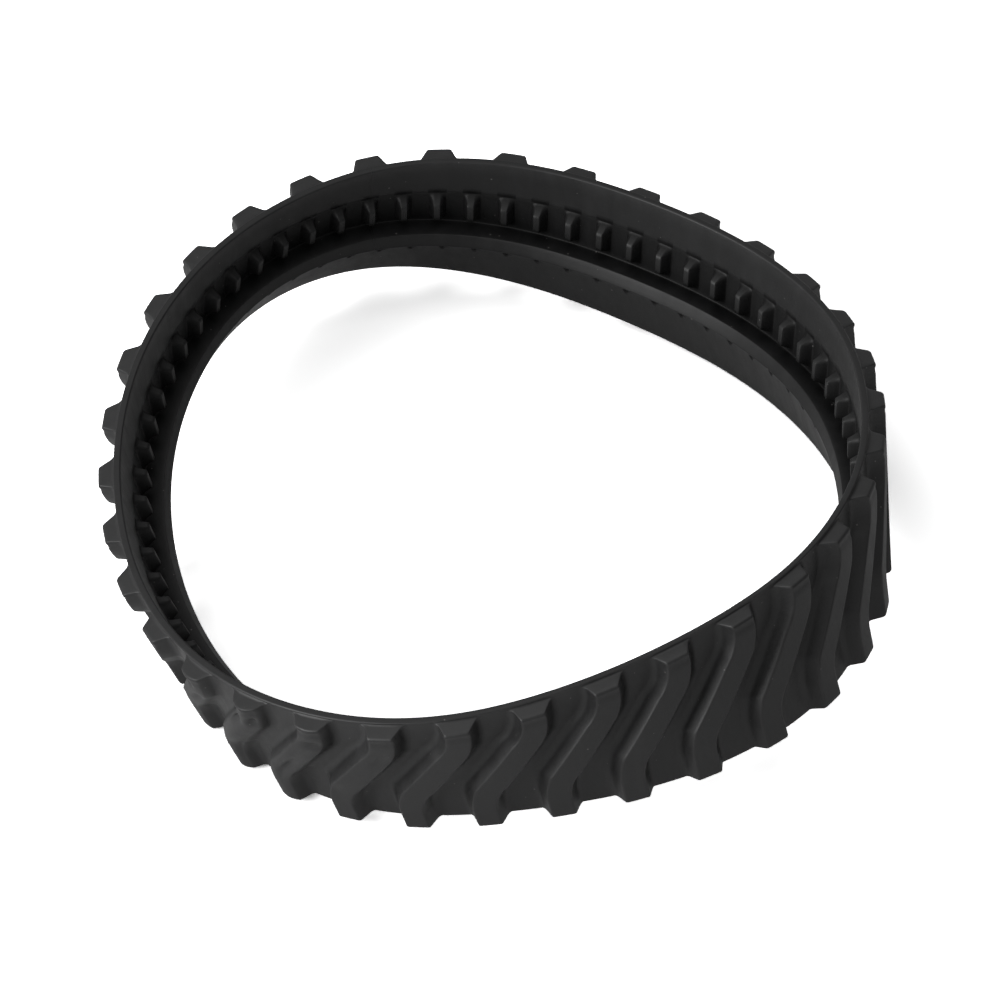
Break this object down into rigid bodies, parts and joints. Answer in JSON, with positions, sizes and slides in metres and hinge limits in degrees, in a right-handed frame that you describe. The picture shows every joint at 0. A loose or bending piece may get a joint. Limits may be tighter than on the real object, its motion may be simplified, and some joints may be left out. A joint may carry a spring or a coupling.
{
  "type": "rubber drive track",
  "caption": "Endless moulded rubber drive track with S-shaped tread lugs outside, and a row of drive teeth in a channel above a guide rail inside.",
  "frame": {"origin": "middle of the loop's footprint, at the edge it rests on", "axes": "+Z across the belt's width, from the edge beside the guide rail to the free rim; +Y towards the loop's narrow end"},
  "size_m": [0.2016, 0.2246, 0.042],
  "materials": {
    "track_rubber": "satin"
  },
  "bodies": {
    "link_01": {"band_link_01": "track_rubber", "tread_lugs_01": "track_rubber", "drive_teeth_01": "track_rubber"},
    "link_02": {"band_link_02": "track_rubber", "tread_lugs_02": "track_rubber", "drive_teeth_02": "track_rubber"},
    "link_03": {"band_link_03": "track_rubber", "tread_lugs_03": "track_rubber", "drive_teeth_03": "track_rubber"},
    "link_04": {"band_link_04": "track_rubber", "tread_lugs_04": "track_rubber", "drive_teeth_04": "track_rubber"},
    "link_05": {"band_link_05": "track_rubber", "tread_lugs_05": "track_rubber", "drive_teeth_05": "track_rubber"},
    "link_06": {"band_link_06": "track_rubber", "tread_lugs_06": "track_rubber", "drive_teeth_06": "track_rubber"},
    "link_07": {"band_link_07": "track_rubber", "tread_lugs_07": "track_rubber", "drive_teeth_07": "track_rubber"},
    "link_08": {"band_link_08": "track_rubber", "tread_lugs_08": "track_rubber", "drive_teeth_08": "track_rubber"},
    "link_09": {"band_link_09": "track_rubber", "tread_lugs_09": "track_rubber", "drive_teeth_09": "track_rubber"},
    "link_10": {"band_link_10": "track_rubber", "tread_lugs_10": "track_rubber", "drive_teeth_10": "track_rubber"},
    "link_11": {"band_link_11": "track_rubber", "tread_lugs_11": "track_rubber", "drive_teeth_11": "track_rubber"},
    "link_12": {"band_link_12": "track_rubber", "tread_lugs_12": "track_rubber", "drive_teeth_12": "track_rubber"},
    "link_13": {"band_link_13": "track_rubber", "tread_lugs_13": "track_rubber", "drive_teeth_13": "track_rubber"},
    "link_14": {"band_link_14": "track_rubber", "tread_lugs_14": "track_rubber", "drive_teeth_14": "track_rubber"},
    "link_15": {"band_link_15": "track_rubber", "tread_lugs_15": "track_rubber", "drive_teeth_15": "track_rubber"},
    "link_16": {"band_link_16": "track_rubber", "tread_lugs_16": "track_rubber", "drive_teeth_16": "track_rubber"},
    "link_17": {"band_link_17": "track_rubber", "tread_lugs_17": "track_rubber", "drive_teeth_17": "track_rubber"}
  },
  "joints": [
    {"name": "flex_11", "type": "hinge", "parent": "link_10", "child": "link_11", "pos_m": [0.039, -0.1013, 0.021], "axis": [0, 0, 1], "range_deg": [-4.9, 4.9], "stiffness_Nm_per_rad": 0.004},
    {"name": "flex_12", "type": "hinge", "parent": "link_11", "child": "link_12", "pos_m": [0.07112, -0.08252, 0.021], "axis": [0, 0, 1], "range_deg": [-7.5, 7.5], "stiffness_Nm_per_rad": 0.004},
    {"name": "flex_13", "type": "hinge", "parent": "link_12", "child": "link_13", "pos_m": [0.09006, -0.05051, 0.021], "axis": [0, 0, 1], "range_deg": [-2.4, 2.4], "stiffness_Nm_per_rad": 0.004},
    {"name": "flex_14", "type": "hinge", "parent": "link_13", "child": "link_14", "pos_m": [0.09516, -0.01339, 0.021], "axis": [0, 0, 1], "range_deg": [-8, 8], "stiffness_Nm_per_rad": 0.004},
    {"name": "flex_15", "type": "hinge", "parent": "link_14", "child": "link_15", "pos_m": [0.08949, 0.02365, 0.021], "axis": [0, 0, 1], "range_deg": [-8.3, 8.3], "stiffness_Nm_per_rad": 0.004},
    {"name": "flex_16", "type": "hinge", "parent": "link_15", "child": "link_16", "pos_m": [0.07192, 0.05663, 0.021], "axis": [0, 0, 1], "range_deg": [-7.7, 7.7], "stiffness_Nm_per_rad": 0.004},
    {"name": "flex_17", "type": "hinge", "parent": "link_16", "child": "link_17", "pos_m": [0.04499, 0.08274, 0.021], "axis": [0, 0, 1], "range_deg": [-2.5, 2.5], "stiffness_Nm_per_rad": 0.004},
    {"name": "flex_01", "type": "hinge", "parent": "link_17", "child": "link_01", "pos_m": [0.01248, 0.10143, 0.021], "axis": [0, 0, 1], "range_deg": [-11.3, 11.3], "stiffness_Nm_per_rad": 0.004},
    {"name": "flex_10", "type": "hinge", "parent": "link_10", "child": "link_09", "pos_m": [0.0019, -0.10666, 0.021], "axis": [0, 0, -1], "range_deg": [-6.2, 6.2], "stiffness_Nm_per_rad": 0.004},
    {"name": "flex_09", "type": "hinge", "parent": "link_09", "child": "link_08", "pos_m": [-0.03506, -0.10078, 0.021], "axis": [0, 0, -1], "range_deg": [-7.7, 7.7], "stiffness_Nm_per_rad": 0.004},
    {"name": "flex_08", "type": "hinge", "parent": "link_08", "child": "link_07", "pos_m": [-0.06626, -0.08051, 0.021], "axis": [0, 0, -1], "range_deg": [-2.5, 2.5], "stiffness_Nm_per_rad": 0.004},
    {"name": "flex_07", "type": "hinge", "parent": "link_07", "child": "link_06", "pos_m": [-0.08579, -0.04865, 0.021], "axis": [0, 0, -1], "range_deg": [-9.2, 9.2], "stiffness_Nm_per_rad": 0.004},
    {"name": "flex_06", "type": "hinge", "parent": "link_06", "child": "link_05", "pos_m": [-0.09443, -0.01216, 0.021], "axis": [0, 0, -1], "range_deg": [-7.7, 7.7], "stiffness_Nm_per_rad": 0.004},
    {"name": "flex_05", "type": "hinge", "parent": "link_05", "child": "link_04", "pos_m": [-0.09302, 0.02529, 0.021], "axis": [0, 0, -1], "range_deg": [-6.9, 6.9], "stiffness_Nm_per_rad": 0.004},
    {"name": "flex_04", "type": "hinge", "parent": "link_04", "child": "link_03", "pos_m": [-0.08088, 0.06073, 0.021], "axis": [0, 0, -1], "range_deg": [-2.3, 2.3], "stiffness_Nm_per_rad": 0.004},
    {"name": "flex_03", "type": "hinge", "parent": "link_03", "child": "link_02", "pos_m": [-0.05795, 0.09027, 0.021], "axis": [0, 0, -1], "range_deg": [-10.2, 10.2], "stiffness_Nm_per_rad": 0.004}
  ],
  "couplings": [
    {"joint": "flex_11", "follows": "flex_10", "ratio": 0.76717},
    {"joint": "flex_12", "follows": "flex_10", "ratio": 1.1813},
    {"joint": "flex_13", "follows": "flex_10", "ratio": -0.36},
    {"joint": "flex_14", "follows": "flex_10", "ratio": -1.2662},
    {"joint": "flex_15", "follows": "flex_10", "ratio": -1.3127},
    {"joint": "flex_16", "follows": "flex_10", "ratio": -1.218},
    {"joint": "flex_17", "follows": "flex_10", "ratio": 0.38},
    {"joint": "flex_01", "follows": "flex_10", "ratio": 1.7955},
    {"joint": "flex_09", "follows": "flex_10", "ratio": 1.2205},
    {"joint": "flex_08", "follows": "flex_10", "ratio": -0.38},
    {"joint": "flex_07", "follows": "flex_10", "ratio": -1.4626},
    {"joint": "flex_06", "follows": "flex_10", "ratio": -1.2198},
    {"joint": "flex_05", "follows": "flex_10", "ratio": -1.0924},
    {"joint": "flex_04", "follows": "flex_10", "ratio": 0.35},
    {"joint": "flex_03", "follows": "flex_10", "ratio": 1.6171}
  ]
}
